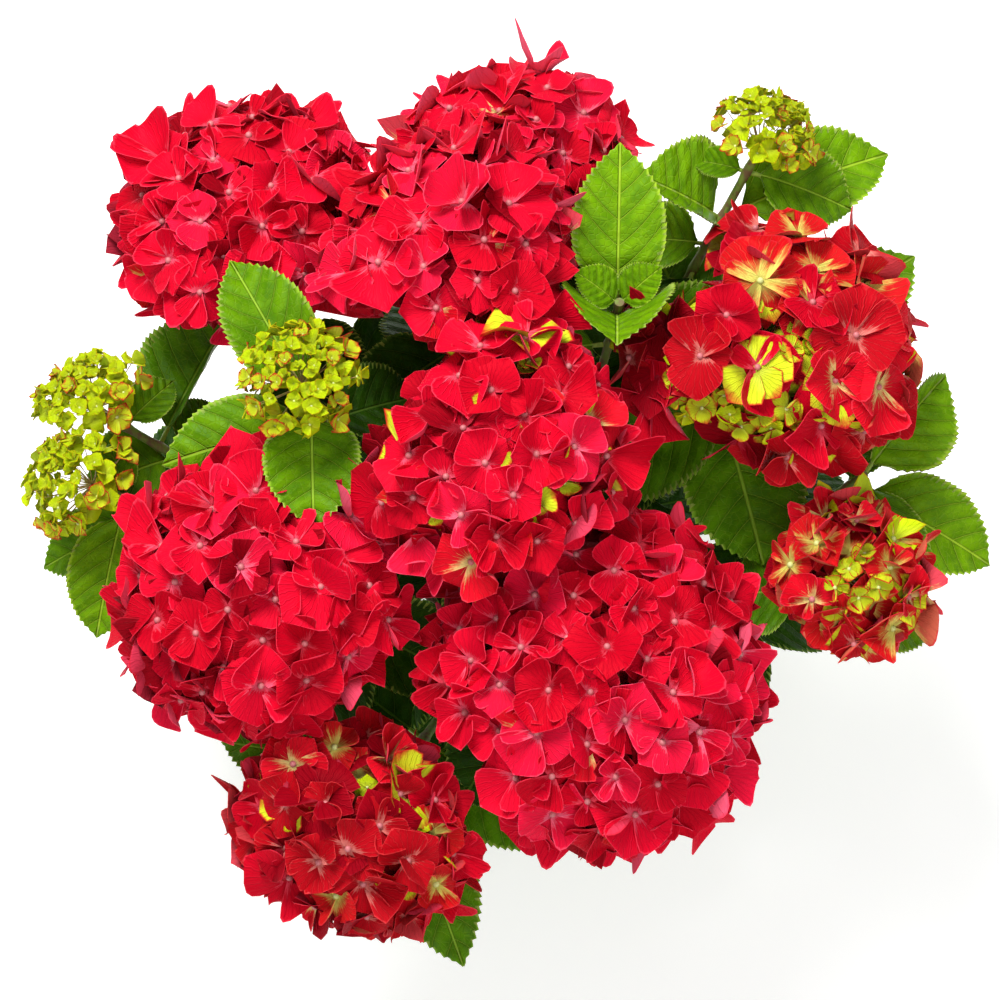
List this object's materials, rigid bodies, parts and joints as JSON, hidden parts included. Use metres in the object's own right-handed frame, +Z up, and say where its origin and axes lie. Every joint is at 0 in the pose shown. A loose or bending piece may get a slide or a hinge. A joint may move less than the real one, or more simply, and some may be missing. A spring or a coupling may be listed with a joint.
{
  "type": "hydrangea shrub",
  "caption": "Rooted mophead hydrangea shrub in flower: a short woody stem, fanned boughs, and leafy masses with red, half-ripe and lime domed flower heads.",
  "frame": {"origin": "middle of the stem's flat cut at ground level", "axes": "+Z up, -Y towards the front of the shrub, +X to the right as seen from the front"},
  "size_m": [0.6194, 0.5672, 0.5271],
  "materials": {
    "bark": "matt, fissured brown bark",
    "red_bloom": "soft satin petals, veined",
    "half_ripe_bloom": "soft satin petals, red over lime",
    "lime_bloom": "soft satin petals, lime with red tips",
    "foliage": "leaf green, low sheen, light veins"
  },
  "bodies": {
    "root": {"main_stem": "bark", "bough_back_left": "bark", "bough_back": "bark", "bough_centre_back": "bark", "bough_centre": "bark", "bough_left": "bark", "bough_front": "bark", "bough_front_left": "bark", "bough_back_right": "bark", "bough_right": "bark", "bough_lime_inner": "bark", "bough_lime_left_back": "bark", "bough_lime_left": "bark", "bough_lime_back_right": "bark", "bough_leafy_back": "bark", "bough_leafy_right": "bark", "flowers_back_left": "red_bloom", "flowers_back": "red_bloom", "flowers_centre_back": "red_bloom", "flowers_centre": "red_bloom", "flowers_left": "red_bloom", "flowers_front": "red_bloom", "flowers_front_left": "half_ripe_bloom", "flowers_back_right": "half_ripe_bloom", "flowers_right": "half_ripe_bloom", "flowers_lime_inner": "lime_bloom", "flowers_lime_left_back": "lime_bloom", "flowers_lime_left": "lime_bloom", "flowers_lime_back_right": "lime_bloom", "leaves_leafy_back": "foliage", "leaves_leafy_right": "foliage"}
  },
  "joints": []
}
